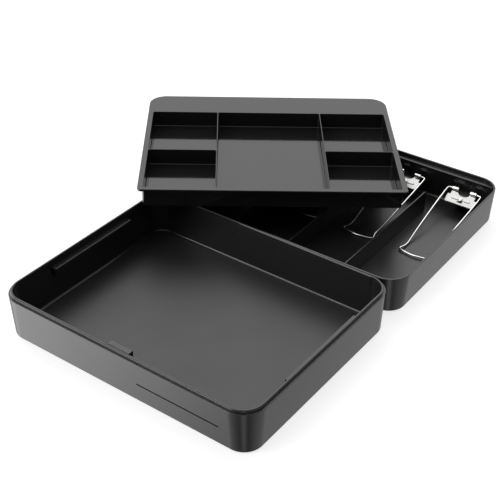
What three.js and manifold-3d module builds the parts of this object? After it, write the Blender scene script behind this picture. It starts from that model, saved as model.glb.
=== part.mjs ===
// Cash drawer, opened: a base with note dividers and four wire clamps, its lid lying on its back
// in front of it, and a coin tray resting turned across the rims of both.
// Millimetres, +Z up, counter at z = 0, origin under the middle of the base.
// Front is -Y, rear is +Y, left is -X, right is +X.
import * as THREE from 'three';
import { mergeVertices } from 'three/addons/utils/BufferGeometryUtils.js';
import Module from 'manifold-3d';

const wasm = await Module();
wasm.setup();

const radians = THREE.MathUtils.degToRad;

// ---------- dimensions shared between pieces ----------
// A plan area is [left, front, right, rear].
const SHELL_W = 335;        // outside width of base and lid
const SHELL_D = 265;        // outside depth of base and lid
const HALF_W = SHELL_W / 2;
const HALF_D = SHELL_D / 2;
const SHELL = [-HALF_W, -HALF_D, HALF_W, HALF_D];
const RIM_R = 27;           // corner radius at the rim, seen from above
const BOTTOM_R = 22;        // corner radius at the resting face
const DRAFT = 3.2;          // how far the wall leans in, rim to resting face
const EDGE_R = 2.6;         // rounding of the edge round the resting face

const BASE_H = 46;          // counter to top of the base's lip
const BASE_FLOOR = 3;
const BEAM_Y = 121.5;       // front face of the beam along the rear wall

const DIVIDER_X = [86.5, 8, -71];
const DIVIDER_FRONT = -121;
const DIVIDER_REAR = 84;
const DIVIDER_T = 1.6;
const GROOVE_DEPTH = 1.2;   // depth of the floor groove a divider stands in
const GROOVE_GAP = 0.3;     // clearance round a divider in its groove

const CLAMP_COUNT = 4;
const CLAMP_FIRST_X = 126.5;
const CLAMP_PITCH = 79;
const CLAMP_X = Array.from({ length: CLAMP_COUNT }, (_, i) => CLAMP_FIRST_X - i * CLAMP_PITCH);
const PIVOT_Y = 113.2;
const PIVOT_Z = 29;
const PLATE_TILT = radians(28.5);     // front edge lower

// Clamp parts in the plate's frame: pivot line on X, plate running to -Y, flat.
const CURL_IN = 1.5;        // inner and outer radius of the curled ears
const CURL_OUT = 2.8;
const PLATE_T = 1.2;
const PLATE_LOW = -CURL_OUT;
const PLATE_TOP = PLATE_LOW + PLATE_T;
const EAR_IN = 8.2;         // inner and outer side of an ear, from the middle
const EAR_OUT = 16.4;
const SLOT = [-3.5, -16.9, 3.5, -15.1];      // lug slot
const BAR = [-12.7, -13.8, 12.7, -10.8];     // raised bar
const BAR_RISE = 0.8;
const RIVET_R = 1.4;
const RIVET_GAP = 0.3;      // clearance round the rivet's shank
const RIVET_Y = (BAR[1] + BAR[3]) / 2;

// ---------- outlines and solids ----------
const CORNER_SEGMENTS = 7;

// Rounded rectangle at height z, inset from a plan area. radii is one number, or four in the
// order front right, rear right, rear left, front left.
function ring([left, front, right, rear], inset, radii, z, segments = CORNER_SEGMENTS) {
  const x0 = left + inset, y0 = front + inset;
  const x1 = right - inset, y1 = rear - inset;
  const [fr, rr, rl, fl] = Array.isArray(radii) ? radii : Array(4).fill(radii);
  // corner centre x, y, radius, start angle
  const corners = [
    [x1 - fr, y0 + fr, fr, -90], [x1 - rr, y1 - rr, rr, 0],
    [x0 + rl, y1 - rl, rl, 90], [x0 + fl, y0 + fl, fl, 180],
  ];
  return corners.flatMap(([x, y, radius, start]) =>
    Array.from({ length: segments + 1 }, (_, i) => {
      const angle = radians(start + (90 * i) / segments);
      return [x + radius * Math.cos(angle), y + radius * Math.sin(angle), z];
    }));
}

// Quarter circle in 30 degree steps, as [inset, rise], from full inset up to none.
function quarterRound(radius) {
  return [0, 30, 60, 90].map((degrees) => {
    const angle = radians(degrees);
    return [radius * (1 - Math.sin(angle)), radius * (1 - Math.cos(angle))];
  });
}

function solidOf(geometry) {
  geometry.deleteAttribute('normal');
  geometry.deleteAttribute('uv');
  const merged = mergeVertices(geometry, 1e-4);
  return new wasm.Manifold(new wasm.Mesh({
    numProp: 3,
    vertProperties: Float32Array.from(merged.attributes.position.array),
    triVerts: Uint32Array.from(merged.index.array),
  }));
}

function geometryOf(solid) {
  const { vertProperties, triVerts } = solid.getMesh();
  const geometry = new THREE.BufferGeometry();
  geometry.setAttribute('position', new THREE.BufferAttribute(vertProperties, 3));
  geometry.setIndex(new THREE.BufferAttribute(triVerts, 1));
  geometry.computeVertexNormals();
  return geometry;
}

// Stack of rings with equal point counts, lowest first, closed by flat caps.
function loft(rings) {
  const count = rings[0].length;
  const index = [];
  for (let k = 0; k + 1 < rings.length; k++) {
    for (let i = 0; i < count; i++) {
      const a = k * count + i;
      const b = k * count + ((i + 1) % count);
      index.push(a, b, b + count, a, b + count, a + count);
    }
  }
  const cap = (level, facesUp) => {
    const flat = rings[level].map(([x, y]) => new THREE.Vector2(x, y));
    const start = level * count;
    for (const [a, b, c] of THREE.ShapeUtils.triangulateShape(flat, [])) {
      const [second, third] = facesUp ? [b, c] : [c, b];
      index.push(start + a, start + second, start + third);
    }
  };
  cap(0, false);
  cap(rings.length - 1, true);
  const geometry = new THREE.BufferGeometry();
  geometry.setAttribute('position', new THREE.Float32BufferAttribute(rings.flat(2), 3));
  geometry.setIndex(index);
  return solidOf(geometry);
}

// Stack of circles about a vertical line, each given as [radius, z].
function discs(levels, y, segments) {
  return loft(levels.map(([radius, z]) => Array.from({ length: segments }, (_, i) => {
    const angle = (i / segments) * Math.PI * 2;
    return [radius * Math.cos(angle), y + radius * Math.sin(angle), z];
  })));
}

function box(x0, y0, z0, x1, y1, z1) {
  const geometry = new THREE.BoxGeometry(x1 - x0, y1 - y0, z1 - z0);
  geometry.translate((x0 + x1) / 2, (y0 + y1) / 2, (z0 + z1) / 2);
  return solidOf(geometry);
}

function shapeOf(points) {
  return new THREE.Shape(points.map(([x, y]) => new THREE.Vector2(x, y)));
}

// Extrudes a (y, z) shape along +X, starting at x0.
function extrudeAlongX(shape, x0, options) {
  const geometry = new THREE.ExtrudeGeometry(shape, options);
  geometry.applyMatrix4(new THREE.Matrix4().makeBasis(
    new THREE.Vector3(0, 1, 0), new THREE.Vector3(0, 0, 1), new THREE.Vector3(1, 0, 0)));
  geometry.translate(x0, 0, 0);
  return solidOf(geometry);
}

function prismAlongX(profile, x0, x1) {
  return extrudeAlongX(shapeOf(profile), x0, { depth: x1 - x0, bevelEnabled: false });
}

function union(solids) {
  return solids.reduce((a, b) => a.add(b));
}

// ---------- outside of base and lid ----------
const wallLean = (z, height) => DRAFT * (1 - z / height);
const cornerRadius = (z, height) => BOTTOM_R + (RIM_R - BOTTOM_R) * (z / height);

// Rounded edge at the resting face, then a leaning wall.
function makeShell(height) {
  const edge = quarterRound(EDGE_R).map(([inset, z]) =>
    ring(SHELL, wallLean(EDGE_R, height) + inset, cornerRadius(z, height) - inset, z));
  return loft([...edge, ring(SHELL, 0, RIM_R, height)]);
}

// ---------- base ----------
const BASE_WALL = 2.4;      // wall thickness, following the lean of the outside
const BASE_FOOT_R = 3.6;    // rounding of wall and beam into the floor
const BASE_LIP_DROP = 0.5;  // where the lip starts to flare, below the top
const BASE_FLARE = 0.35;    // how far the flare opens, just above the top
const BEAM_TOP = 42;
const BEAM_SKIN = 2.6;      // the beam is hollow from below
const BEAM_EDGE_R = 1.2;    // rounding of the beam's upper front edge
const BEAM_EDGE_MID = 0.35; // offset of the middle point of that rounding

// Room inside the base, less the beam along the rear wall.
function baseHollow() {
  const inside = (z, inset) => ring(SHELL, wallLean(z, BASE_H) + BASE_WALL + inset,
    cornerRadius(z, BASE_H) - BASE_WALL - inset, z);
  const foot = quarterRound(BASE_FOOT_R);
  const room = loft([
    ...foot.map(([inset, rise]) => inside(BASE_FLOOR + rise, inset)),
    inside(BASE_H - BASE_LIP_DROP, 0),
    inside(BASE_H + 0.3, -BASE_FLARE),
  ]);
  const beam = prismAlongX([
    [BEAM_Y - BASE_FOOT_R, -1], [HALF_D + 5, -1], [HALF_D + 5, BEAM_TOP],
    [BEAM_Y + BEAM_EDGE_R, BEAM_TOP], [BEAM_Y + BEAM_EDGE_MID, BEAM_TOP - BEAM_EDGE_MID],
    [BEAM_Y, BEAM_TOP - BEAM_EDGE_R],
    ...foot.reverse().map(([inset, rise]) => [BEAM_Y - inset, BASE_FLOOR + rise]),
  ], -HALF_W - 5, HALF_W + 5);
  return room.subtract(beam);
}

// Hollow of the beam, open from below.
function beamHollow() {
  const level = (z) => ring([
    -HALF_W + RIM_R, BEAM_Y + BEAM_SKIN,
    HALF_W - RIM_R, HALF_D - wallLean(z, BASE_H) - BEAM_SKIN,
  ], 0, 0.8, z);
  return loft([level(-1), level(BEAM_TOP - BEAM_SKIN)]);
}

function floorGroove(x) {
  const half = DIVIDER_T / 2 + GROOVE_GAP;
  return box(
    x - half, DIVIDER_FRONT - GROOVE_GAP, BASE_FLOOR - GROOVE_DEPTH,
    x + half, DIVIDER_REAR + GROOVE_GAP, BASE_FLOOR + 1);
}

const SEAT_Z = PLATE_LOW - 0.3;       // pedestal's top in the plate's frame
const SEAT_FRONT = -17.2;             // front and rear end of that top
const SEAT_REAR = -5.2;
const SEAT_HALF_W = 9;
const SEAT_SINK = 1.2;                // reach of the pedestal into the beam
const SEAT_FOOT = 8;                  // reach of its foot in front of its rear face
const LUG_GAP = 0.35;                 // clearance of the lug in the bracket's slot
const LUG_RISE = 0.2;                 // lug above the plate
const RIVET_HOLE_DEPTH = 5.6;         // below the plate's underside
const RIVET_HOLE_CUT = 8;             // length of the cutting cylinder

// Point (y, z) of the plate's frame, in the base's frame.
function fromPlate(y, z) {
  const cos = Math.cos(PLATE_TILT), sin = Math.sin(PLATE_TILT);
  return [PIVOT_Y + y * cos - z * sin, PIVOT_Z + y * sin + z * cos];
}

// Blind hole for the rivet's shank.
function rivetHole(x) {
  const radius = RIVET_R + RIVET_GAP;
  const geometry = new THREE.CylinderGeometry(radius, radius, RIVET_HOLE_CUT, 14);
  geometry.rotateX(Math.PI / 2);
  geometry.translate(0, RIVET_Y, PLATE_LOW - RIVET_HOLE_DEPTH + RIVET_HOLE_CUT / 2);
  geometry.rotateX(PLATE_TILT);
  geometry.translate(x, PIVOT_Y, PIVOT_Z);
  return solidOf(geometry);
}

// Clamp pedestal: gusset out of the rear beam, with a lug for the bracket's slot.
function makePedestal(x) {
  const rearFace = BEAM_Y + SEAT_SINK;
  const front = fromPlate(SEAT_FRONT, SEAT_Z);
  const rear = fromPlate(SEAT_REAR, SEAT_Z);
  const gusset = prismAlongX([
    [rearFace - SEAT_FOOT, BASE_FLOOR - 0.5], [rearFace, BASE_FLOOR - 0.5],
    [rearFace, rear[1]], rear, front, [front[0], front[1] - 2],
  ], x - SEAT_HALF_W, x + SEAT_HALF_W);
  const [slotLeft, slotFront, slotRight, slotRear] = SLOT;
  const lugFront = slotFront + LUG_GAP, lugRear = slotRear - LUG_GAP;
  const lugTop = PLATE_TOP + LUG_RISE;
  const lug = prismAlongX([
    fromPlate(lugFront, SEAT_Z - 1), fromPlate(lugRear, SEAT_Z - 1),
    fromPlate(lugRear, lugTop), fromPlate(lugFront, lugTop),
  ], x + slotLeft + LUG_GAP, x + slotRight - LUG_GAP);
  return gusset.add(lug).subtract(rivetHole(x));
}

function makeBase() {
  let body = makeShell(BASE_H).subtract(baseHollow()).subtract(beamHollow());
  for (const x of DIVIDER_X) body = body.subtract(floorGroove(x));
  return body.add(union(CLAMP_X.map(makePedestal)));
}

// ---------- lid, lying on its back ----------
const LID_H = 51.5;         // counter to the outer step of its rim
const LID_TONGUE_H = 3.5;   // tongue above the step
const LID_TOP = LID_H + LID_TONGUE_H;
const LID_STEP = 2.2;       // width of the outer step
const LID_WALL = 4.8;       // wall thickness at the rim
const LID_FLOOR = 3.4;
const LID_AT = [-0.92, -272.53, 0];   // from the middle of the base
const LID_TURN = -0.683;              // degrees about +Z

// Rounded upper edge of the tongue: [inset, drop below the top].
const TONGUE_EDGE = [[0, 1.4], [0.19, 0.7], [0.7, 0.19], [1.4, 0]];
// Rounding of wall into floor: [inset from the wall's foot, height above the floor].
const LID_FOOT = [[4, 0], [1.6, 0.9], [0.4, 3.2]];
const LID_FOOT_LEAN = DRAFT * 0.7;    // lean of the inner wall, rim to foot

const RAIL_TOP = 46.5;
const RAIL_H = 12;
const RAIL_OUT = 7.7;       // how far a rail stands out from the wall
const RAIL_FRONT = -58;
const RAIL_REAR = 68;

const PAD_LEFT = 128;       // thicker part of the rear wall: in from the left and right side
const PAD_RIGHT = 27;
const PAD_T = 0.9;          // added thickness

const CATCH_LEFT = -15;     // tab inside the front wall
const CATCH_RIGHT = 14;
const CATCH_DEPTH = 8;
const CATCH_TOP = 54.2;
const CATCH_H = 16;         // height of its root on the wall
const CATCH_FACE_H = 6;     // height of its upright face and depth of the slot
const CATCH_CHAMFER = 0.4;
const CATCH_SLOT = 1.2;     // slot between the tab and the wall
const LID_FRONT_WALL = -HALF_D + LID_WALL;   // inner face at the rim

const FINGER_LEFT = 192.7;  // finger groove: in from the left and right side
const FINGER_RIGHT = 38.3;
const FINGER_Z = 24;        // its middle height
const FINGER_H = 2;
const FINGER_DEPTH = 1.3;

function lidTongue() {
  const level = (inset, z) => ring(SHELL, LID_STEP + inset, RIM_R - LID_STEP - inset, z);
  return loft([
    level(0, LID_H - 1),
    ...TONGUE_EDGE.map(([inset, drop]) => level(inset, LID_TOP - drop)),
  ]);
}

function lidHollow() {
  return loft([
    ...LID_FOOT.map(([inset, rise]) =>
      ring(SHELL, LID_WALL + LID_FOOT_LEAN + inset, BOTTOM_R - 4 - inset, LID_FLOOR + rise)),
    ring(SHELL, LID_WALL, RIM_R - LID_WALL, LID_TOP + 1),
  ]);
}

// Rail inside a side wall, for the tray's flange; side is -1 left, 1 right.
function sideRail(side) {
  const wallX = side * (HALF_W - LID_WALL + 1);
  const innerX = side * (HALF_W - LID_WALL - RAIL_OUT);
  return box(
    Math.min(wallX, innerX), RAIL_FRONT, RAIL_TOP - RAIL_H,
    Math.max(wallX, innerX), RAIL_REAR, RAIL_TOP);
}

function rearWallPad() {
  return box(
    -HALF_W + PAD_LEFT, HALF_D - LID_WALL - PAD_T, LID_FLOOR + 4,
    HALF_W - PAD_RIGHT, HALF_D - LID_WALL + 0.6, LID_TOP);
}

function catchTab() {
  const root = LID_FRONT_WALL - 1;
  const face = LID_FRONT_WALL + CATCH_DEPTH;
  return prismAlongX([
    [root, CATCH_TOP - CATCH_H], [face, CATCH_TOP - CATCH_FACE_H],
    [face, CATCH_TOP - CATCH_CHAMFER], [face - CATCH_CHAMFER, CATCH_TOP], [root, CATCH_TOP],
  ], CATCH_LEFT, CATCH_RIGHT);
}

function catchSlot() {
  return box(
    CATCH_LEFT + 1, LID_FRONT_WALL + 0.05, CATCH_TOP - CATCH_FACE_H,
    CATCH_RIGHT - 1, LID_FRONT_WALL + CATCH_SLOT, LID_TOP + 1);
}

function fingerGroove() {
  const faceY = -HALF_D + wallLean(FINGER_Z, LID_H);
  return box(
    -HALF_W + FINGER_LEFT, -HALF_D - 1, FINGER_Z - FINGER_H / 2,
    HALF_W - FINGER_RIGHT, faceY + FINGER_DEPTH, FINGER_Z + FINGER_H / 2);
}

function makeLid() {
  return makeShell(LID_H)
    .add(lidTongue())
    .subtract(lidHollow())
    .add(union([sideRail(-1), sideRail(1), rearWallPad(), catchTab()]))
    .subtract(catchSlot())
    .subtract(fingerGroove());
}

// ---------- coin tray: origin in the middle of its underside ----------
const TRAY_W = 322;
const TRAY_D = 259;
const TRAY_H = 25;
const TRAY_AREA = [-TRAY_W / 2, -TRAY_D / 2, TRAY_W / 2, TRAY_D / 2];
const TRAY_CORNERS = [5, 23, 23, 5];  // flange radii, in the order ring() takes
const TRAY_FLANGE_T = 3;
const TRAY_CHAMFER = 0.7;   // upper edge of the flange
const TRAY_WALL = 1.2;
const TRAY_PARTITION = 1.3; // walls between the cups
const CUP_Z = 4.4;          // cup floor above the skirt's foot
const CUP_FLOOR_T = 1.6;
const TRAY_SIDE = 5.6;      // flange overhang, left and right
const TRAY_FRONT = 5.3;     // flange overhang, front
const TRAY_REAR = 48.6;     // plain rear flange
const TRAY_COLUMN = 93;     // side column divider, in from the side edge
const TRAY_SPLIT = 157;     // cross wall of a side column, from the rear edge
const RIB_X = 106;          // upright ribs on the front skirt
const RIB_HALF_W = 0.8;
const RIB_OUT = 1.6;
const TRAY_AT = [-102.52, 9.52, 50.3];
const TRAY_TURN = 36.278;   // degrees about +Z
const TRAY_LEAN = -1.895;   // degrees about +X, from the lid's rim down to the base's rim

// Levels of a cup from its floor up: [inset, corner radius, z].
const CUP_LEVELS = [
  [0.9, 1.2, CUP_Z], [0.26, 1.7, CUP_Z + 0.26], [0, 1.9, CUP_Z + 0.9],
  [0, 1.9, TRAY_H - 0.3], [-0.22, 2.1, TRAY_H + 0.1],
];

function trayFlange() {
  const level = (inset, z) => ring(TRAY_AREA, inset, TRAY_CORNERS.map((r) => r - inset), z);
  return loft([
    level(0, TRAY_H - TRAY_FLANGE_T), level(0, TRAY_H - TRAY_CHAMFER), level(TRAY_CHAMFER, TRAY_H),
  ]);
}

function makeTray() {
  const [trayLeft, trayFront, trayRight, trayRear] = TRAY_AREA;
  const skirt = [
    trayLeft + TRAY_SIDE, trayFront + TRAY_FRONT, trayRight - TRAY_SIDE, trayRear - TRAY_REAR,
  ];
  let body = trayFlange().add(loft([
    ring(skirt, 0.4, 3.2, 0), ring(skirt, 0, 3.6, 0.5), ring(skirt, 0, 3.6, TRAY_H - 1),
  ]));
  // hollow under the cup floors, inside the skirt
  body = body.subtract(loft([-1, CUP_Z - CUP_FLOOR_T].map((z) =>
    ring(skirt, TRAY_WALL + 0.4, 2, z))));

  const [left, front, right, rear] =
    [skirt[0] + TRAY_WALL, skirt[1] + TRAY_WALL, skirt[2] - TRAY_WALL, skirt[3] - TRAY_WALL];
  const half = TRAY_PARTITION / 2;
  const leftWall = trayLeft + TRAY_COLUMN;
  const rightWall = trayRight - TRAY_COLUMN;
  const crossWall = trayRear - TRAY_SPLIT;
  const cups = [
    [left, front, leftWall - half, crossWall - half],
    [left, crossWall + half, leftWall - half, rear],
    [leftWall + half, front, rightWall - half, rear],
    [rightWall + half, front, right, crossWall - half],
    [rightWall + half, crossWall + half, right, rear],
  ];
  for (const cup of cups) {
    body = body.subtract(loft(CUP_LEVELS.map(([inset, r, z]) => ring(cup, inset, r, z))));
  }
  for (const x of [-RIB_X, RIB_X]) {
    body = body.add(box(
      x - RIB_HALF_W, skirt[1] - RIB_OUT, 1.5,
      x + RIB_HALF_W, skirt[1] + 0.6, TRAY_H - 2));
  }
  return body;
}

// ---------- note divider: upright sheet with rounded upper corners ----------
const DIVIDER_H = 28.2;
const DIVIDER_FRONT_R = 5;
const DIVIDER_REAR_R = 3;
const DIVIDER_BEVEL = 0.3;

function makeDivider() {
  const bottom = BASE_FLOOR - GROOVE_DEPTH + GROOVE_GAP;
  const top = bottom + DIVIDER_H;
  const shape = new THREE.Shape();
  shape.moveTo(DIVIDER_FRONT, bottom);
  shape.lineTo(DIVIDER_REAR, bottom);
  shape.lineTo(DIVIDER_REAR, top - DIVIDER_REAR_R);
  shape.quadraticCurveTo(DIVIDER_REAR, top, DIVIDER_REAR - DIVIDER_REAR_R, top);
  shape.lineTo(DIVIDER_FRONT + DIVIDER_FRONT_R, top);
  shape.quadraticCurveTo(DIVIDER_FRONT, top, DIVIDER_FRONT, top - DIVIDER_FRONT_R);
  const depth = DIVIDER_T - 2 * DIVIDER_BEVEL;
  return extrudeAlongX(shape, -depth / 2, {
    depth,
    bevelEnabled: true,
    bevelThickness: DIVIDER_BEVEL,
    bevelSize: DIVIDER_BEVEL,
    bevelOffset: -DIVIDER_BEVEL,
    bevelSegments: 1,
    curveSegments: 4,
  });
}

// ---------- clamp bracket, in the plate's frame ----------
const PLATE_HALF = 20;      // half width
const PLATE_LEN = 19.3;     // pivot line to front edge
const PLATE_CORNER = 0.8;   // cut corners
const EAR_FOOT = -8;        // where the ears leave the wide part
const EAR_END = 0.3;
const NOTCH_Y = -1.2;       // centre and depth of the round notch between the ears
const NOTCH_DEPTH = 6.2;
const CURL_STEPS = 14;
const FOLD_DROP = 1.4;      // front edge folded down below the plate

// Full width at the front, two ears at the rear with a round notch between them.
function bracketPlate() {
  const front = -PLATE_LEN;
  const inner = PLATE_HALF - PLATE_CORNER;
  const notch = Array.from({ length: 7 }, (_, i) => {
    const angle = -Math.PI * (i + 1) / 8;
    return [EAR_IN * Math.cos(angle), NOTCH_Y + NOTCH_DEPTH * Math.sin(angle)];
  });
  const shape = shapeOf([
    [-inner, front], [inner, front], [PLATE_HALF, front + PLATE_CORNER],
    [PLATE_HALF, EAR_FOOT - PLATE_CORNER], [inner, EAR_FOOT],
    [EAR_OUT, EAR_FOOT], [EAR_OUT, EAR_END], [EAR_IN, EAR_END],
    ...notch,
    [-EAR_IN, EAR_END], [-EAR_OUT, EAR_END], [-EAR_OUT, EAR_FOOT],
    [-inner, EAR_FOOT], [-PLATE_HALF, EAR_FOOT - PLATE_CORNER],
    [-PLATE_HALF, front + PLATE_CORNER],
  ]);
  const geometry = new THREE.ExtrudeGeometry(shape, { depth: PLATE_T, bevelEnabled: false });
  geometry.translate(0, 0, PLATE_LOW);
  return solidOf(geometry);
}

// (y, z) profile of an ear curled round the wire, from below the pivot line round the rear.
function curlProfile() {
  const arc = (radius) => Array.from({ length: CURL_STEPS + 1 }, (_, i) => {
    const angle = radians(-90 + 280 * i / CURL_STEPS);
    return [radius * Math.cos(angle), radius * Math.sin(angle)];
  });
  return [...arc(CURL_OUT), ...arc(CURL_IN).reverse()];
}

function makeBracket() {
  const curl = curlProfile();
  const bar = loft([
    ring(BAR, 0, 1.4, PLATE_TOP - 0.4, 3), ring(BAR, 0, 1.4, PLATE_TOP + 0.3, 3),
    ring(BAR, 0.5, 0.9, PLATE_TOP + BAR_RISE, 3),
  ]);
  const [slotLeft, slotFront, slotRight, slotRear] = SLOT;
  const slot = box(slotLeft, slotFront, PLATE_LOW - 1, slotRight, slotRear, PLATE_TOP + 1);
  const foldHalf = PLATE_HALF - 1.2;
  const fold = box(
    -foldHalf, -PLATE_LEN - 0.2, PLATE_LOW - FOLD_DROP,
    foldHalf, -PLATE_LEN + 0.9, PLATE_TOP - 0.1);
  const holeR = RIVET_R + RIVET_GAP;
  const hole = discs([[holeR, PLATE_LOW - 3], [holeR, PLATE_TOP + 3]], RIVET_Y, 14);
  return bracketPlate()
    .add(prismAlongX(curl, -EAR_OUT, -EAR_IN))
    .add(prismAlongX(curl, EAR_IN, EAR_OUT))
    .add(bar)
    .subtract(slot)
    .add(fold)
    .subtract(hole);
}

// ---------- rivet: flat-domed head above the plate, shank into the pedestal ----------
function makeRivet() {
  const headZ = PLATE_TOP + BAR_RISE + 0.3;
  return discs([
    [RIVET_R, PLATE_LOW - 5], [RIVET_R, headZ],
    [2.9, headZ], [2.9, headZ + 0.45], [2.2, headZ + 0.95], [1.1, headZ + 1.2],
  ], RIVET_Y, 16);
}

// ---------- bail: bent wire, about the middle of the pivot line ----------
const WIRE_R = 1.15;
const WIRE_SIDES = 6;
const BAIL_STEPS = 64;
const BAIL_SHOULDER = 22.6; // half width where the wire leaves the pivot line
const BAIL_FOOT_Z = 5.2;    // wire centre above the counter, at the front

// Right half from the pivot line to the shoulder: x, y, z from the pivot middle.
const BAIL_PIVOT_END = [
  [EAR_IN + 0.6, 0, 0], [BAIL_SHOULDER - 2.2, 0, 0],
  [BAIL_SHOULDER - 0.6, -0.6, -0.15], [BAIL_SHOULDER, -2.4, -0.5],
];
// From there to the front middle: x from the pivot middle, y in the base's frame,
// height above BAIL_FOOT_Z.
const BAIL_ARM = [
  [19.8, 30, 6.2], [18.2, 4, 0.5], [18.0, -1, 0], [18.6, -6.5, 0], [20.5, -12.2, 0],
  [20.3, -14.2, 0], [17.8, -15.6, 0], [10.6, -17.2, 0], [0, -18.5, 0],
];

function makeBail() {
  const right = [
    ...BAIL_PIVOT_END,
    ...BAIL_ARM.map(([x, y, rise]) => [x, y - PIVOT_Y, BAIL_FOOT_Z - PIVOT_Z + rise]),
  ];
  const left = right.slice(0, -1).map(([x, y, z]) => [-x, y, z]).reverse();
  const points = [...right, ...left].map((point) => new THREE.Vector3(...point));
  const section = shapeOf(Array.from({ length: WIRE_SIDES }, (_, i) => {
    const angle = (i / WIRE_SIDES) * Math.PI * 2;
    return [WIRE_R * Math.cos(angle), WIRE_R * Math.sin(angle)];
  }));
  return solidOf(new THREE.ExtrudeGeometry(section, {
    steps: BAIL_STEPS,
    bevelEnabled: false,
    extrudePath: new THREE.CatmullRomCurve3(points, false, 'centripetal'),
  }));
}

// ---------- materials ----------
const MATERIALS = {
  shell: { color: 0x111112, roughness: 0.3, metalness: 0 },
  tray: { color: 0x111112, roughness: 0.18, metalness: 0 },
  divider: { color: 0x131314, roughness: 0.4, metalness: 0 },
  bracket: { color: 0xd8d8d8, roughness: 0.25, metalness: 1 },
  rivet: { color: 0xc8c8c8, roughness: 0.3, metalness: 1 },
  wire: { color: 0xe4e4e4, roughness: 0.15, metalness: 1 },
};

// ---------- assembly ----------
const group = new THREE.Group();
group.name = 'cash_drawer';

function put(name, solid, finish, parent = group) {
  const material = new THREE.MeshStandardMaterial(MATERIALS[finish]);
  const mesh = new THREE.Mesh(geometryOf(solid), material);
  mesh.name = name;
  parent.add(mesh);
  return mesh;
}

function putClamp(x, number) {
  const bracket = put(`clamp_bracket_${number}`, makeBracket(), 'bracket');
  const rivet = put(`clamp_rivet_${number}`, makeRivet(), 'rivet');
  const bail = put(`bail_${number}`, makeBail(), 'wire');
  for (const mesh of [bracket, rivet, bail]) mesh.position.set(x, PIVOT_Y, PIVOT_Z);
  for (const mesh of [bracket, rivet]) mesh.rotation.x = PLATE_TILT;
}

put('base_shell', makeBase(), 'shell');
DIVIDER_X.forEach((x, i) => {
  put(`divider_${i + 1}`, makeDivider(), 'divider').position.x = x;
});
CLAMP_X.forEach((x, i) => putClamp(x, i + 1));

const lid = put('lid_shell', makeLid(), 'shell');
lid.position.set(...LID_AT);
lid.rotation.z = radians(LID_TURN);

// The tray turns within a group that leans.
const trayLean = new THREE.Group();
trayLean.name = 'tray_lean';
trayLean.position.set(...TRAY_AT);
trayLean.rotation.x = radians(TRAY_LEAN);
group.add(trayLean);
put('coin_tray', makeTray(), 'tray', trayLean).rotation.z = radians(TRAY_TURN);

export default group;
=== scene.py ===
"""Cash case, open, with a removable coin tray.

The base stands at the origin with its floor at z = 0; X is its width and -Y its front.
The lid lies upside down in front of it and the coin tray rests turned and leaning on the base.
A row of four clamps with wire bails runs along the rear of the base, with dividers between.
Sizes are millimetres unless a comment says otherwise; MM turns them into metres.
"""
import math

import bpy
import bmesh
from mathutils import Matrix, Vector


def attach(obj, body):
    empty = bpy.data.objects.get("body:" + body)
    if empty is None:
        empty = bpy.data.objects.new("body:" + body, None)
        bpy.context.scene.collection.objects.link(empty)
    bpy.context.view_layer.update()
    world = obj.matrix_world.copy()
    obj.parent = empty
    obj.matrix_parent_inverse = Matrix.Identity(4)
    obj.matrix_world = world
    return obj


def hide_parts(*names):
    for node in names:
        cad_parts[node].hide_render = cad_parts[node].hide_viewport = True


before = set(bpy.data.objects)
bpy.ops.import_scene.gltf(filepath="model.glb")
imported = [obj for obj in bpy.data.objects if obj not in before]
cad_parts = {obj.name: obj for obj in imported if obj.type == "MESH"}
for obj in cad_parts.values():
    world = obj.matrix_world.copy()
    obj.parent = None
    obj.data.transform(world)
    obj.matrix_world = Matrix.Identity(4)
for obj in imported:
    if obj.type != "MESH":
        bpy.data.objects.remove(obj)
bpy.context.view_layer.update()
MM = 0.001

# ---------------------------------------------------------------- driving sizes
CORNER_STEPS = 18                       # steps per quarter corner of an outline
HALF_W, HALF_D = 335.0 / 2, 265.0 / 2   # base and lid, at the rim
CASE = (-HALF_W, -HALF_D, HALF_W, HALF_D)
RIM_R, BOTTOM_R = 27.0, 22.0            # corner radii in plan
DRAFT = 3.2                             # inset of the wall at z = 0
EDGE_R = 2.6                            # round between wall and underside
BASE_H, LID_H = 46.0, 51.5

PIVOT_Y, PIVOT_Z = 113.2, 29.0          # hinge line of the bails
CLAMP_X = [126.5, 47.5, -31.5, -110.5]
DIVIDER_X = [86.5, 8, -71]


def placed(place, turns):
    """Matrix that moves to place (mm) after turning by (degrees, axis) pairs, last pair first."""
    matrix = Matrix.Translation(Vector(place) * MM)
    for degrees, axis in turns:
        matrix = matrix @ Matrix.Rotation(math.radians(degrees), 4, axis)
    return matrix


LID_MATRIX = placed((-0.92, -272.53, 0.0), [(-0.683, "Z")])
TRAY_MATRIX = placed((-102.52, 9.52, 50.3), [(-1.895, "X"), (36.278, "Z")])


# ---------------------------------------------------------------- outlines and profiles
def quarter(steps):
    """(sin, 1 - cos) pairs from 0 to 90 degrees"""
    angles = [math.radians(90 * i / steps) for i in range(steps + 1)]
    return [(math.sin(angle), 1 - math.cos(angle)) for angle in angles]


def arc(start, end, first, steps):
    """(inset, z) points of a quarter round that leaves start along first: "inset" or "z"."""
    points = []
    for run, rise in quarter(steps):
        across, up = (run, rise) if first == "inset" else (rise, run)
        points.append((start[0] + (end[0] - start[0]) * across, start[1] + (end[1] - start[1]) * up))
    return points


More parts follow.
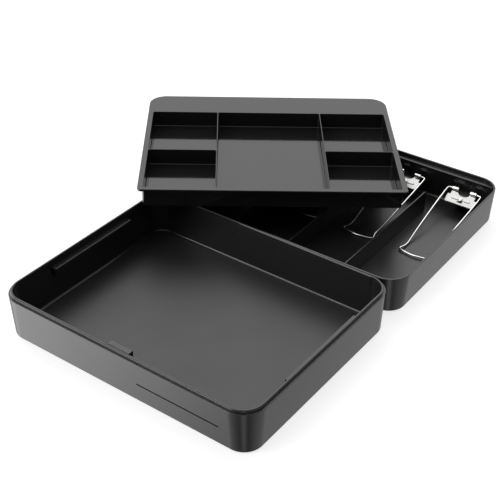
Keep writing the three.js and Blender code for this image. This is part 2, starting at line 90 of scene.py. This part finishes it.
def outline(bounds, inset, radii, z):
    """Rounded rectangle; bounds are (x_min, y_min, x_max, y_max) before the inset.

    radii is one number, or front right, rear right, rear left, front left.
    """
    if not isinstance(radii, list):
        radii = [radii] * 4
    x_min, y_min, x_max, y_max = bounds
    corners = ((x_max, y_min, -1, 1), (x_max, y_max, -1, -1), (x_min, y_max, 1, -1), (x_min, y_min, 1, 1))
    points = []
    for i, (x, y, inward_x, inward_y) in enumerate(corners):
        radius = radii[i]
        centre_x = x + inward_x * inset + inward_x * radius
        centre_y = y + inward_y * inset + inward_y * radius
        for k in range(CORNER_STEPS + 1):
            angle = math.radians(90 * (i - 1) + 90.0 * k / CORNER_STEPS)
            points.append((centre_x + radius * math.cos(angle), centre_y + radius * math.sin(angle), z))
    return points


def case_rings(profile):
    """Outlines of the case for (inset, corner radius, z) rows"""
    return [outline(CASE, inset, max(radius, 0.6), z) for inset, radius, z in profile]


def wall_inset(z, height):
    return DRAFT * (1 - z / height)


def corner_r(z, height):
    return BOTTOM_R + (RIM_R - BOTTOM_R) * z / height


def underside_profile(height):
    """Rows shared by base and lid: the flat underside and the round up to the wall"""
    ring_in = EDGE_R + 3
    wall = wall_inset(EDGE_R, height)
    profile = [(wall + ring_in, BOTTOM_R - ring_in, 0.0)]
    for run, rise in quarter(6):
        inset, z = EDGE_R * (1 - run), EDGE_R * rise
        profile.append((wall + inset, corner_r(z, height) - inset, z))
    return profile


def rim_rows(points):
    return [(inset, RIM_R - inset, z) for inset, z in points]


# ---------------------------------------------------------------- mesh building
def skin(mesh, rows):
    """Joins rows of vertices side by side and caps both ends"""
    count = len(rows[0])
    for low, high in zip(rows, rows[1:]):
        for i in range(count):
            j = (i + 1) % count
            mesh.faces.new((low[i], low[j], high[j], high[i]))
    mesh.faces.new(list(reversed(rows[0])))
    mesh.faces.new(rows[-1])


def loft(rings):
    mesh = bmesh.new()
    skin(mesh, [[mesh.verts.new((x * MM, y * MM, z * MM)) for x, y, z in ring] for ring in rings])
    return mesh


def add_prism(mesh, profile, x_range):
    """Closed (y, z) profile pulled along X"""
    skin(mesh, [[mesh.verts.new((x * MM, y * MM, z * MM)) for y, z in profile] for x in x_range])


def add_box(mesh, x_range, y_range, z_range):
    x_min, x_max = sorted(x_range)
    y_min, y_max = y_range
    corners = ((x_min, y_min), (x_max, y_min), (x_max, y_max), (x_min, y_max))
    verts = [mesh.verts.new((x * MM, y * MM, z * MM)) for z in z_range for x, y in corners]
    for face in ((3, 2, 1, 0), (4, 5, 6, 7), (0, 1, 5, 4), (1, 2, 6, 5), (2, 3, 7, 6), (3, 0, 4, 7)):
        mesh.faces.new([verts[i] for i in face])


def box(*ranges):
    mesh = bmesh.new()
    add_box(mesh, *ranges)
    return mesh


def link_object(mesh, name, matrix=None):
    data = bpy.data.meshes.new(name)
    mesh.to_mesh(data)
    mesh.free()
    if matrix is not None:
        data.transform(matrix)
    made = bpy.data.objects.new(name, data)
    bpy.context.scene.collection.objects.link(made)
    return made


def solid(mesh, name, matrix=None):
    bmesh.ops.recalc_face_normals(mesh, faces=mesh.faces)
    return link_object(mesh, name, matrix)


def shade_smooth(target):
    for polygon in target.data.polygons:
        polygon.use_smooth = True


def add_bevel(target, width, segments, degrees):
    bevel = target.modifiers.new("edge", "BEVEL")
    bevel.width = width * MM
    bevel.segments = segments
    bevel.limit_method = "ANGLE"
    bevel.angle_limit = math.radians(degrees)


def add_weighted_normals(target, keep_sharp):
    normals = target.modifiers.new("wn", "WEIGHTED_NORMAL")
    normals.mode = "FACE_AREA"
    normals.weight = 60
    normals.keep_sharp = keep_sharp


def part(mesh, name, body, slot, material, replaces, matrix=None, bevel=None, weighted=True):
    """Finished visible piece, tied to its body and given its material; the CAD node it replaces is hidden
    """
    made = solid(mesh, name, matrix)
    shade_smooth(made)
    made.data.materials.append(material)
    if bevel:
        add_bevel(made, bevel, segments=3, degrees=35)
    if weighted:
        add_weighted_normals(made, keep_sharp=True)
    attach(made, body)
    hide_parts(replaces)
    return made


def cut(target, tool, operation="DIFFERENCE"):
    """Boolean ahead of the other modifiers, applied at once so that no tool is left behind"""
    boolean = target.modifiers.new("cut", "BOOLEAN")
    boolean.operation = operation
    boolean.solver = "EXACT"
    boolean.object = tool
    while target.modifiers[0] != boolean:
        bpy.context.view_layer.objects.active = target
        with bpy.context.temp_override(object=target, active_object=target):
            bpy.ops.object.modifier_move_up(modifier=boolean.name)
    with bpy.context.temp_override(object=target, active_object=target, selected_objects=[target]):
        bpy.ops.object.modifier_apply(modifier=boolean.name)
    data = tool.data
    bpy.data.objects.remove(tool)
    bpy.data.meshes.remove(data)


# ---------------------------------------------------------------- shader helpers
class Shader:
    """Node tree of a material or world; every method but node returns a socket."""

    def __init__(self, owner):
        owner.use_nodes = True
        self.tree = owner.node_tree
        self.tree.nodes.clear()

    def node(self, kind, inputs=None, **settings):
        made = self.tree.nodes.new("ShaderNode" + kind)
        for key, value in settings.items():
            setattr(made, key, value)
        for key, value in (inputs or {}).items():
            if isinstance(value, bpy.types.NodeSocket):
                self.tree.links.new(value, made.inputs[key])
            else:
                made.inputs[key].default_value = value
        return made

    def finish(self, output_kind, kind, inputs):
        self.node(output_kind, {0: self.node(kind, inputs).outputs[0]})

    def math(self, operation, *values):
        return self.node("Math", dict(enumerate(values)), operation=operation).outputs[0]

    def times(self, first, second):
        return self.math("MULTIPLY", first, second)

    def fit(self, value, gain, offset):
        return self.math("MULTIPLY_ADD", value, gain, offset)

    def coords(self, kind="Object"):
        return self.node("TexCoord").outputs[kind]

    def noise(self, coords, scale, detail=3.0, roughness=0.5):
        inputs = {"Vector": coords, "Scale": scale, "Detail": detail, "Roughness": roughness}
        return self.node("TexNoise", inputs).outputs["Fac"]

    def ramp(self, value, start, end, low=0.0, high=1.0):
        """low at start, high at end, held beyond both"""
        inputs = {"Value": value, "From Min": start, "From Max": end, "To Min": low, "To Max": high}
        return self.node("MapRange", inputs, clamp=True).outputs["Result"]

    def dot(self, first, second):
        return self.node("VectorMath", {0: first, 1: second}, operation="DOT_PRODUCT").outputs["Value"]

    def tint(self, colour, value):
        return self.node("VectorMath", {0: colour, "Scale": value}, operation="SCALE").outputs[0]

    def edge_mask(self, radius, edge, flat):
        """1 on sharp edges, 0 on flats; radius in metres, edge and flat are normal agreement"""
        rounded = self.node("Bevel", {"Radius": radius}, samples=4).outputs[0]
        normal = self.node("NewGeometry").outputs["Normal"]
        return self.ramp(self.dot(rounded, normal), start=edge, end=flat, low=1.0, high=0.0)

    def bump(self, height, distance, strength, **normal):
        inputs = {"Distance": distance, "Strength": strength, "Height": height, **normal}
        return self.node("Bump", inputs).outputs[0]


def new_material(name):
    material = bpy.data.materials.new(name)
    return material, Shader(material)


# ---------------------------------------------------------------- materials
FLOOR_Z = 0.0065              # metres; the inside floor lies below this height
WORN_COLOUR = (0.08, 0.08, 0.083, 1)


def plastic(name, colour, roughness, wear_and_edge_shade, floor_roughness=None, grain=0.05, smudge=0.10, wave=0.10):
    """Moulded black: soft colour drift, scuffed edges, smudged gloss, fine grain over a slow wave"""
    material, shader = new_material(name)
    coords = shader.coords()
    drift = shader.noise(coords, scale=9.0, detail=2.0)
    speck = shader.noise(coords, scale=420.0, detail=2.0, roughness=0.6)
    shade = shader.times(shader.fit(drift, gain=0.5, offset=0.75),
                         shader.fit(speck, gain=0.24, offset=0.88))
    edges = shader.edge_mask(radius=0.0007, edge=0.9, flat=0.995)
    patches = shader.noise(coords, scale=60.0, detail=4.0, roughness=0.65)
    worn = shader.times(edges, shader.ramp(patches, start=0.42, end=0.72))
    worn_share = 0.35         # share of the worn colour at wear 1
    mix = shader.node("Mix", data_type="RGBA", inputs={
        "Factor": shader.times(worn, wear_and_edge_shade * worn_share),
        "A": shader.tint(colour, shade),
        "B": WORN_COLOUR})

    smudges = shader.noise(coords, scale=22.0, detail=4.0, roughness=0.55)
    gloss = shader.fit(smudges, gain=smudge, offset=roughness - smudge / 2)
    worn_roughness = 0.12     # roughness added where worn
    gloss = shader.math("ADD", gloss, shader.times(worn, worn_roughness))
    fine = shader.noise(coords, scale=1500.0, detail=3.0, roughness=0.6)
    strength = grain
    if floor_roughness is not None:
        # the inside floor is duller and grainier
        normal = shader.node("NewGeometry").outputs["Normal"]
        facing = shader.node("SeparateXYZ", {0: normal}).outputs["Z"]
        upward = shader.ramp(facing, start=0.93, end=0.985)
        height = shader.node("SeparateXYZ", {0: coords}).outputs["Z"]
        low = shader.ramp(height, start=FLOOR_Z, end=FLOOR_Z + 0.001, low=1.0, high=0.0)
        mask = shader.times(upward, low)
        gloss = shader.fit(mask, gain=floor_roughness - roughness, offset=gloss)
        strength = shader.fit(mask, gain=0.22, offset=grain)
    slow = shader.noise(coords, scale=14.0, detail=1.0, roughness=0.4)
    waved = shader.bump(slow, distance=0.0006, strength=wave)
    shader.finish("OutputMaterial", "BsdfPrincipled", {
        "Base Color": mix.outputs["Result"],
        "Roughness": gloss,
        "IOR": 1.5,
        "Normal": shader.bump(fine, distance=0.00008, strength=strength, Normal=waved)})
    return material


def metal(name, colour, roughness, wear_and_edge_shade, edge_radius, brush=(1.0, 1.0, 1.0), brush_depth=0.12):
    """Bright metal with brush lines, drawn out along the axis where brush is small; its sharp edges are
    darkened as painted shade
    """
    material, shader = new_material(name)
    coords = shader.coords()
    stretched = shader.node("Mapping", {"Scale": brush, "Vector": coords}).outputs[0]
    lines = shader.noise(stretched, scale=900.0, detail=3.0, roughness=0.6)
    cloud = shader.noise(coords, scale=70.0, detail=3.0, roughness=0.5)
    edges = shader.edge_mask(radius=edge_radius, edge=0.55, flat=0.97)
    shade = shader.fit(cloud, gain=0.12, offset=0.94)
    # painted shade: sharp edges are darkened to stand in for the shaded lines along edges and embossing
    shade = shader.math("SUBTRACT", shade, shader.times(edges, wear_and_edge_shade))
    gloss = shader.fit(lines, gain=0.14, offset=roughness - 0.04)
    shader.finish("OutputMaterial", "BsdfPrincipled", {
        "Base Color": shader.tint(colour, shade),
        "Metallic": 1.0,
        "Roughness": shader.fit(cloud, gain=0.08, offset=gloss),
        "Normal": shader.bump(lines, distance=0.00005, strength=brush_depth)})
    return material


BLACK = (0.0105, 0.0105, 0.011)
lid_plastic = plastic("case_plastic", BLACK, roughness=0.24, floor_roughness=0.42, wear_and_edge_shade=0.3)
base_plastic = plastic("base_plastic", BLACK, roughness=0.24, floor_roughness=0.34, wear_and_edge_shade=0.3, wave=0.04)
tray_plastic = plastic("tray_plastic", (0.0085, 0.0085, 0.009), roughness=0.085, wear_and_edge_shade=0.3,
                       grain=0.015, smudge=0.07, wave=0.05)
divider_plastic = plastic("divider_plastic", (0.010, 0.010, 0.0105), roughness=0.16, wear_and_edge_shade=0.4,
                          grain=0.03)
# on these metals the number after roughness darkens sharp edges as painted shade; on the plastics above
# it is edge wear
plate_metal = metal("clamp_plate", (0.72, 0.715, 0.70), roughness=0.15, wear_and_edge_shade=0.62,
                    edge_radius=0.0008, brush=(0.06, 1.0, 1.0))
rivet_metal = metal("clamp_rivet", (0.74, 0.73, 0.71), roughness=0.24, wear_and_edge_shade=0.6, edge_radius=0.0006)
wire_metal = metal("clamp_wire", (0.70, 0.69, 0.675), roughness=0.10, wear_and_edge_shade=0.05,
                   edge_radius=0.0004, brush=(1.0, 0.08, 1.0), brush_depth=0.06)

# ---------------------------------------------------------------- base
BASE_WALL, BASE_FLOOR = 2.4, 3.0
FLOOR_FILLET = 3.6
RIM_OUT_R, RIM_IN_R = 0.6, 0.5          # rounds on the outer and inner edge of the rim
GROOVE_HALF_W = 1.1
GROOVE_Y, GROOVE_Z = (-121.3, 84.3), (1.8, 4.0)
BEAM_Y, BEAM_TOP, BEAM_TOP_R = 121.5, 42.0, 1.2     # front face, top and its round
BEAM_BOTTOM, BEAM_BACK = 2.7, 132.6
BEAM_TOE = BEAM_Y - FLOOR_FILLET - 0.4
CLAMP_TILT = math.radians(28.5)
PEDESTAL_Y, PEDESTAL_BOTTOM, PEDESTAL_HALF_W = (114.7, 122.7), 2.5, 9
PEDESTAL_TOP_Y, PEDESTAL_TOP_Z = (-17.2, -5.2), -3.1    # in the tilted clamp frame
PEDESTAL_FRONT_DROP = 2
TAB_Y, TAB_TOP, TAB_HALF_W = (-16.55, -15.45), -1.4, 3.15   # tilted frame


def base_part(mesh, name, **options):
    return part(mesh, name, "base", "case_plastic", base_plastic, "base_shell", **options)


def build_base_case():
    round_z = BASE_H - RIM_OUT_R
    profile = underside_profile(BASE_H) + [(wall_inset(round_z, BASE_H), RIM_R, round_z)]
    profile += rim_rows(arc((0.03, round_z), (RIM_OUT_R, BASE_H), "z", 4)[1:])
    profile += rim_rows(arc((BASE_WALL - RIM_IN_R, BASE_H), (BASE_WALL, BASE_H - RIM_IN_R), "inset", 4))
    for run, rise in reversed(quarter(7)):
        z, inset = BASE_FLOOR + FLOOR_FILLET * rise, BASE_WALL + FLOOR_FILLET * (1 - run)
        profile.append((wall_inset(z, BASE_H) + inset, corner_r(z, BASE_H) - inset, z))
    base = base_part(loft(case_rings(profile)), "base_case")
    # floor grooves that the dividers stand in
    for i, x in enumerate(DIVIDER_X):
        tool = box((x - GROOVE_HALF_W, x + GROOVE_HALF_W), GROOVE_Y, GROOVE_Z)
        cut(base, solid(tool, f"divider_groove_{i}"))
    shade_smooth(base)


def build_rear_beam():
    """Beam along the rear wall, rounded into the floor"""
    profile = [(BEAM_TOE, BEAM_BOTTOM), (BEAM_BACK, BEAM_BOTTOM), (BEAM_BACK, BEAM_TOP)]
    profile += [(BEAM_Y + BEAM_TOP_R * (1 - run), BEAM_TOP - BEAM_TOP_R * rise)
                for run, rise in quarter(5)]
    profile += [(BEAM_Y - FLOOR_FILLET * rise, BASE_FLOOR + FLOOR_FILLET * (1 - run))
                for run, rise in quarter(7)]
    profile.append((BEAM_TOE, BASE_FLOOR))
    mesh = bmesh.new()
    add_prism(mesh, profile, (-HALF_W - 1, HALF_W + 1))
    beam = base_part(mesh, "rear_beam")
    # trim it to the middle of the wall it runs into
    middle = BASE_WALL / 2
    trim = loft(case_rings([(wall_inset(z, BASE_H) + middle, corner_r(z, BASE_H) - middle, z)
                            for z in (-2.0, BASE_H + 2)]))
    cut(beam, solid(trim, "beam_trim"), "INTERSECT")
    shade_smooth(beam)


def from_clamp_frame(y, z):
    """(y, z) in the base for a point in the frame tilted about the bail hinge line"""
    return (PIVOT_Y + y * math.cos(CLAMP_TILT) - z * math.sin(CLAMP_TILT),
            PIVOT_Z + y * math.sin(CLAMP_TILT) + z * math.cos(CLAMP_TILT))


def build_pedestals():
    """Sloping block under each clamp, with a small tab standing on its front"""
    front, back = [from_clamp_frame(y, PEDESTAL_TOP_Z) for y in PEDESTAL_TOP_Y]
    block = [(PEDESTAL_Y[0], PEDESTAL_BOTTOM), (PEDESTAL_Y[1], PEDESTAL_BOTTOM),
             (PEDESTAL_Y[1], back[1]), back, front, (front[0], front[1] - PEDESTAL_FRONT_DROP)]
    tab_front, tab_back = TAB_Y
    tab_foot = PEDESTAL_TOP_Z - 1
    tab = [from_clamp_frame(y, z) for y, z in (
        (tab_front, tab_foot), (tab_back, tab_foot), (tab_back, TAB_TOP), (tab_front, TAB_TOP))]
    mesh = bmesh.new()
    for x in CLAMP_X:
        for profile, half_width in ((block, PEDESTAL_HALF_W), (tab, TAB_HALF_W)):
            add_prism(mesh, profile, (x - half_width, x + half_width))
    base_part(mesh, "clamp_pedestals", bevel=0.5)


build_base_case()
build_rear_beam()
build_pedestals()

# ---------------------------------------------------------------- lid, in its own frame
LID_RIM_R = 0.5
# rounds of the step and tongue on the rim: start, end (inset, z above LID_H), leaves along, steps
TONGUE_ARCS = [
    ((1.9, 0.0), (2.2, 0.3), "inset", 3),
    ((2.2, 2.0), (3.7, 3.5), "z", 6),
    ((4.5, 3.5), (4.8, 3.2), "inset", 3),
]
LID_FLOOR_ARC = ((7.1, 6.6), (10.6, 3.4), "z", 7)       # inner wall into the inside floor
FLOOR_ARC_R, FLOOR_ARC_INSET = BOTTOM_R - 4.4, 7.4      # corner radius, and the inset it holds at
LID_GROOVE_X = (-HALF_W + 192.7, HALF_W - 38.3)
LID_GROOVE_Z, LID_GROOVE_HALF_H, LID_GROOVE_DEPTH = 24, 0.9, 1.3
# side ledges: insets from the rim, y range, z range
SIDE_LEDGES = [
    ((3.8, 12.5), (-58, 68), (42.8, 46.5)),
    ((3.8, 9.6), (-57, 67), (34.5, 43.5)),
]
REAR_STRIP = ((-HALF_W + 128, HALF_W - 27), (HALF_D - 5.7, HALF_D - 4.2), (7.4, LID_H + 3.48))
CATCH_X, CATCH_Y = (-15, 14), -HALF_D + 4.8
# front catch: (y from CATCH_Y, z)
CATCH_PROFILE = [(1.2, 48.2), (-0.8, 48.2), (-0.8, 38.4), (8, 48.2), (8, 54.2), (1.2, 54.2)]


def lid_part(mesh, name, **options):
    return part(mesh, name, "lid", "case_plastic", lid_plastic, "lid_shell", LID_MATRIX, **options)


def build_lid_case():
    round_z = LID_H - LID_RIM_R
    profile = underside_profile(LID_H) + [(wall_inset(round_z, LID_H), RIM_R, round_z)]
    profile += rim_rows(arc((0.02, round_z), (LID_RIM_R, LID_H), "z", 4)[1:])
    for start, end, first, steps in TONGUE_ARCS:
        profile += rim_rows(arc((start[0], LID_H + start[1]), (end[0], LID_H + end[1]), first, steps))
    profile += [(inset, FLOOR_ARC_R - (inset - FLOOR_ARC_INSET), z) for inset, z in arc(*LID_FLOOR_ARC)]
    lid = lid_part(loft(case_rings(profile)), "lid_case")
    groove_bottom = -HALF_D + wall_inset(LID_GROOVE_Z, LID_H) + LID_GROOVE_DEPTH
    groove = box(LID_GROOVE_X, (-HALF_D - 2, groove_bottom),
                 (LID_GROOVE_Z - LID_GROOVE_HALF_H, LID_GROOVE_Z + LID_GROOVE_HALF_H))
    cut(lid, solid(groove, "groove_tool", LID_MATRIX))


def build_lid_fittings():
    mesh = bmesh.new()
    for side in (-1, 1):
        for insets, y_range, z_range in SIDE_LEDGES:
            add_box(mesh, [side * (HALF_W - inset) for inset in insets], y_range, z_range)
    add_box(mesh, *REAR_STRIP)
    add_prism(mesh, [(CATCH_Y + y, z) for y, z in CATCH_PROFILE], CATCH_X)
    lid_part(mesh, "lid_fittings", bevel=0.45)


build_lid_case()
build_lid_fittings()

# ---------------------------------------------------------------- coin tray, in its own frame
TRAY_X, TRAY_Y = 322.0 / 2, 259.0 / 2   # half sizes of the flange
FLANGE = (-TRAY_X, -TRAY_Y, TRAY_X, TRAY_Y)
FLANGE_RADII = (5, 23, 23, 5)
SKIRT = (-TRAY_X + 5.6, -TRAY_Y + 5.3, TRAY_X - 5.6, TRAY_Y - 48.6)
SKIRT_R = 3.6
CUP_FLOOR, HOLLOW_INSET = 4.4, 1.6
# (inset, z) from the hollow underneath, round the skirt foot and up to the flange
SKIRT_PROFILE = [
    (HOLLOW_INSET + 2, CUP_FLOOR - 1.6), (HOLLOW_INSET + 0.2, CUP_FLOOR - 1.6),
    (HOLLOW_INSET, CUP_FLOOR - 1.8), (HOLLOW_INSET, 0.3), (HOLLOW_INSET - 0.25, 0.0),
    (0.4, 0.0), (0.12, 0.12), (0.0, 0.5), (0.0, 21.2), (-0.2, 21.8), (-0.8, 22.0),
]
# (inset, z) of the flange, underside to top
FLANGE_PROFILE = [
    (0.6, 22.0), (0.17, 22.15), (0.03, 22.6), (0.03, 24.2),
    (0.14, 24.62), (0.38, 24.88), (0.8, 24.99), (3.0, 24.99),
]
CUP_MARGIN, CUP_GAP = 1.2, 0.65         # skirt to cup, and half the wall between cups
CUP_R, CUP_FLOOR_R = 1.9, 0.9
CUP_MOUTH = [(0.0, 24.6), (-0.05, 24.8), (-0.2, 24.96), (-0.3, 25.03)]      # (inset, z)
LEFT_WALL, RIGHT_WALL, CROSS_WALL = -TRAY_X + 93, TRAY_X - 93, TRAY_Y - 157
RIB_X, RIB_HALF_W = 106, 0.8
RIB_Y, RIB_Z = (SKIRT[1] - 1.5, SKIRT[1] + 0.6), (1.8, 22.4)


def tray_part(mesh, name, **options):
    return part(mesh, name, "tray", "tray_plastic", tray_plastic, "coin_tray", TRAY_MATRIX, **options)


def cup_bounds():
    """Two cups at the left, one long one in the middle, two at the right"""
    left, front = SKIRT[0] + CUP_MARGIN, SKIRT[1] + CUP_MARGIN
    right, rear = SKIRT[2] - CUP_MARGIN, SKIRT[3] - CUP_MARGIN
    front_half, rear_half = (front, CROSS_WALL - CUP_GAP), (CROSS_WALL + CUP_GAP, rear)
    left_column = (left, LEFT_WALL - CUP_GAP)
    middle_column = (LEFT_WALL + CUP_GAP, RIGHT_WALL - CUP_GAP)
    right_column = (RIGHT_WALL + CUP_GAP, right)
    cells = ((left_column, front_half), (left_column, rear_half), (middle_column, (front, rear)),
             (right_column, front_half), (right_column, rear_half))
    return [(xs[0], ys[0], xs[1], ys[1]) for xs, ys in cells]


def build_tray():
    rings = [outline(SKIRT, inset, max(SKIRT_R - inset, 0.5), z) for inset, z in SKIRT_PROFILE]
    rings += [outline(FLANGE, inset, [max(radius - inset, 0.5) for radius in FLANGE_RADII], z)
              for inset, z in FLANGE_PROFILE]
    tray = tray_part(loft(rings), "tray_moulding")
    floor_arc = arc((0.0, CUP_FLOOR + CUP_FLOOR_R), (CUP_FLOOR_R, CUP_FLOOR), "z", 4)[::-1]
    for i, bounds in enumerate(cup_bounds()):
        rings = [outline(bounds, inset, max(CUP_R - 0.4 * inset, 0.8), z) for inset, z in floor_arc]
        rings += [outline(bounds, inset, CUP_R - inset, z) for inset, z in CUP_MOUTH]
        cut(tray, solid(loft(rings), f"cup_tool_{i}", TRAY_MATRIX))
    shade_smooth(tray)

    ribs = bmesh.new()
    for side in (-1, 1):
        add_box(ribs, (side * RIB_X - RIB_HALF_W, side * RIB_X + RIB_HALF_W), RIB_Y, RIB_Z)
    tray_part(ribs, "tray_skirt_ribs", bevel=0.3)


build_tray()

# ---------------------------------------------------------------- bails: round bright wire
WIRE_R = 1.15
REST_Y, REST_Z = -PIVOT_Y, 5.2 - PIVOT_Z    # base y = 0 and the resting height, from the pivot
# right half of the wire's centre line, from its end at the hinge to the middle of the loop
HALF_WIRE = [
    (8.8, 0, 0), (20.4, 0, 0), (22.0, -0.6, -0.15), (22.6, -2.4, -0.5),
    (19.8, 30 + REST_Y, REST_Z + 6.2), (18.2, 4 + REST_Y, REST_Z + 0.5),
    (18.0, -1 + REST_Y, REST_Z), (18.6, -6.5 + REST_Y, REST_Z), (20.5, -12.2 + REST_Y, REST_Z),
    (20.3, -14.2 + REST_Y, REST_Z), (17.8, -15.6 + REST_Y, REST_Z),
    (10.6, -17.2 + REST_Y, REST_Z), (0, -18.5 + REST_Y, REST_Z),
]


def between(start, end, start_time, end_time, time):
    span = end_time - start_time
    return start * ((end_time - time) / span) + end * ((time - start_time) / span)


def smooth_path(points, steps=10):
    """Centripetal Catmull-Rom curve through the points"""
    knots = [Vector(point) for point in points]
    knots = [knots[0] * 2 - knots[1]] + knots + [knots[-1] * 2 - knots[-2]]
    path = []
    for i in range(len(knots) - 3):
        four = knots[i:i + 4]
        times = [0.0]
        for start, end in zip(four, four[1:]):
            times.append(times[-1] + max((end - start).length, 1e-6) ** 0.5)
        for k in range(steps):
            time = times[1] + (times[2] - times[1]) * k / steps
            three = [between(four[j], four[j + 1], times[j], times[j + 1], time) for j in range(3)]
            two = [between(three[j], three[j + 1], times[j], times[j + 2], time) for j in range(2)]
            path.append(between(two[0], two[1], times[1], times[2], time))
    path.append(knots[-2])
    return path


def wire(path, radius, sides=16, end_scale=0.72):
    """Tube along the path, its first and last ring narrowed"""
    mesh = bmesh.new()
    rows = []
    across = None
    last = len(path) - 1
    for i, point in enumerate(path):
        along = (path[min(i + 1, last)] - path[max(i - 1, 0)]).normalized()
        if across is None:
            across = along.orthogonal().normalized()
        else:
            across = (across - along * across.dot(along)).normalized()
        third = along.cross(across)
        ring_r = radius * (end_scale if i in (0, last) else 1.0)
        row = []
        for k in range(sides):
            angle = 2 * math.pi * k / sides
            offset = across * (math.cos(angle) * ring_r) + third * (math.sin(angle) * ring_r)
            row.append(mesh.verts.new((point + offset) * MM))
        rows.append(row)
    skin(mesh, rows)
    return mesh


wire_path = smooth_path(HALF_WIRE + [(-x, y, z) for x, y, z in reversed(HALF_WIRE[:-1])])
for number, clamp_x in enumerate(CLAMP_X, 1):
    part(wire(wire_path, WIRE_R), f"bail_wire_{number}", f"bail_{number}_body", "clamp_wire",
         wire_metal, f"bail_{number}", placed((clamp_x, PIVOT_Y, PIVOT_Z), []), weighted=False)


# ---------------------------------------------------------------- CAD nodes that stay
def dress(name, material, bevel):
    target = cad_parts[name]
    target.data.materials.clear()
    target.data.materials.append(material)
    shade_smooth(target)
    for polygon in target.data.polygons:
        polygon.material_index = 0
    weld = target.modifiers.new("weld", "WELD")
    weld.merge_threshold = 0.000002
    add_bevel(target, bevel, segments=2, degrees=40)
    add_weighted_normals(target, keep_sharp=False)


for number in (1, 2, 3):
    dress(f"divider_{number}", divider_plastic, bevel=0.2)
for number in (1, 2, 3, 4):
    dress(f"clamp_bracket_{number}", plate_metal, bevel=0.22)
    dress(f"clamp_rivet_{number}", rivet_metal, bevel=0.12)


# ---------------------------------------------------------------- floor, camera, light
CAMERA_PLACE = (597.319, -1008.488, 754.302)
CAMERA_YAW, CAMERA_PITCH = math.radians(35.6875), math.radians(34.4964)    # left of +Y, downward


def build_floor():
    """Pale glowing floor, unseen by reflections and bounced light"""
    mesh = bmesh.new()
    bmesh.ops.create_grid(mesh, x_segments=1, y_segments=1, size=6.0)
    floor = link_object(mesh, "floor")
    floor.location = (0, 0, -0.0003)
    material, shader = new_material("floor_pale")
    shader.finish("OutputMaterial", "BsdfPrincipled", {
        "Base Color": (0.42, 0.42, 0.42, 1),
        "Roughness": 0.9,
        "Specular IOR Level": 0.0,
        "Emission Color": (1, 1, 1, 1),
        "Emission Strength": 0.72})
    floor.data.materials.append(material)
    floor.visible_glossy = False
    floor.visible_diffuse = False


def build_camera():
    data = bpy.data.cameras.new("cam")
    data.lens = 78.908
    data.sensor_width = 36
    data.sensor_fit = "HORIZONTAL"
    data.clip_start = 0.05
    data.clip_end = 50
    camera = bpy.data.objects.new("cam", data)
    bpy.context.scene.collection.objects.link(camera)
    camera.location = Vector(CAMERA_PLACE) * MM
    forward = Vector((-math.sin(CAMERA_YAW) * math.cos(CAMERA_PITCH),
                      math.cos(CAMERA_YAW) * math.cos(CAMERA_PITCH), -math.sin(CAMERA_PITCH)))
    camera.rotation_euler = forward.to_track_quat("-Z", "Y").to_euler()
    bpy.context.scene.camera = camera


def build_world():
    """Studio tent, in directions turned so that +Y leads away from the camera and +X to its right"""
    world = bpy.data.worlds.new("studio")
    bpy.context.scene.world = world
    shader = Shader(world)
    ramp, times = shader.ramp, shader.times
    turned = shader.node("VectorRotate", {"Vector": shader.coords("Generated"), "Angle": -CAMERA_YAW},
                         rotation_type="Z_AXIS").outputs[0]
    x, y, z = shader.node("SeparateXYZ", {0: turned}).outputs
    above = ramp(z, start=0.0, end=0.25)
    below = ramp(z, start=0.25, end=0.0)
    # backdrop, brighter with height
    back = times(ramp(y, start=0.22, end=0.6), ramp(z, start=0.38, end=0.74, low=1.05, high=2.6))
    back = times(back, above)
    top = ramp(z, start=0.62, end=0.86, high=0.80)
    # low light from the left, with a bright box at its far end
    left = times(ramp(x, start=-0.12, end=-0.62, high=0.68), below)
    box_left = times(ramp(x, start=-0.62, end=-0.80, high=3.0), below)
    # low light from the right, a little stronger towards the back
    right = times(ramp(x, start=0.14, end=0.60, high=0.60), below)
    far_right = times(ramp(y, start=0.34, end=0.46, high=0.12),
                      times(ramp(x, start=0.3, end=0.5), below))
    # narrow low glint from the camera's side
    glint = times(ramp(shader.math("ABSOLUTE", x), start=0.05, end=0.20, low=1.3, high=0.0),
                  ramp(y, start=-0.5, end=-0.7))
    glint = times(glint, below)
    ambient = 0.13
    strength = shader.math("ADD", back, ambient)
    # round spot high at the left
    spot = ramp(shader.dot(turned, (-0.72, -0.18, 0.67)), start=0.945, end=0.985, high=4.5)
    for term in (top, left, box_left, right, far_right, glint, spot):
        strength = shader.math("ADD", strength, term)
    shader.finish("OutputWorld", "Background", {"Color": (1, 1, 1, 1), "Strength": strength})


build_floor()
build_camera()
build_world()
bpy.context.scene.view_settings.view_transform = "Standard"

bpy.context.view_layer.update()
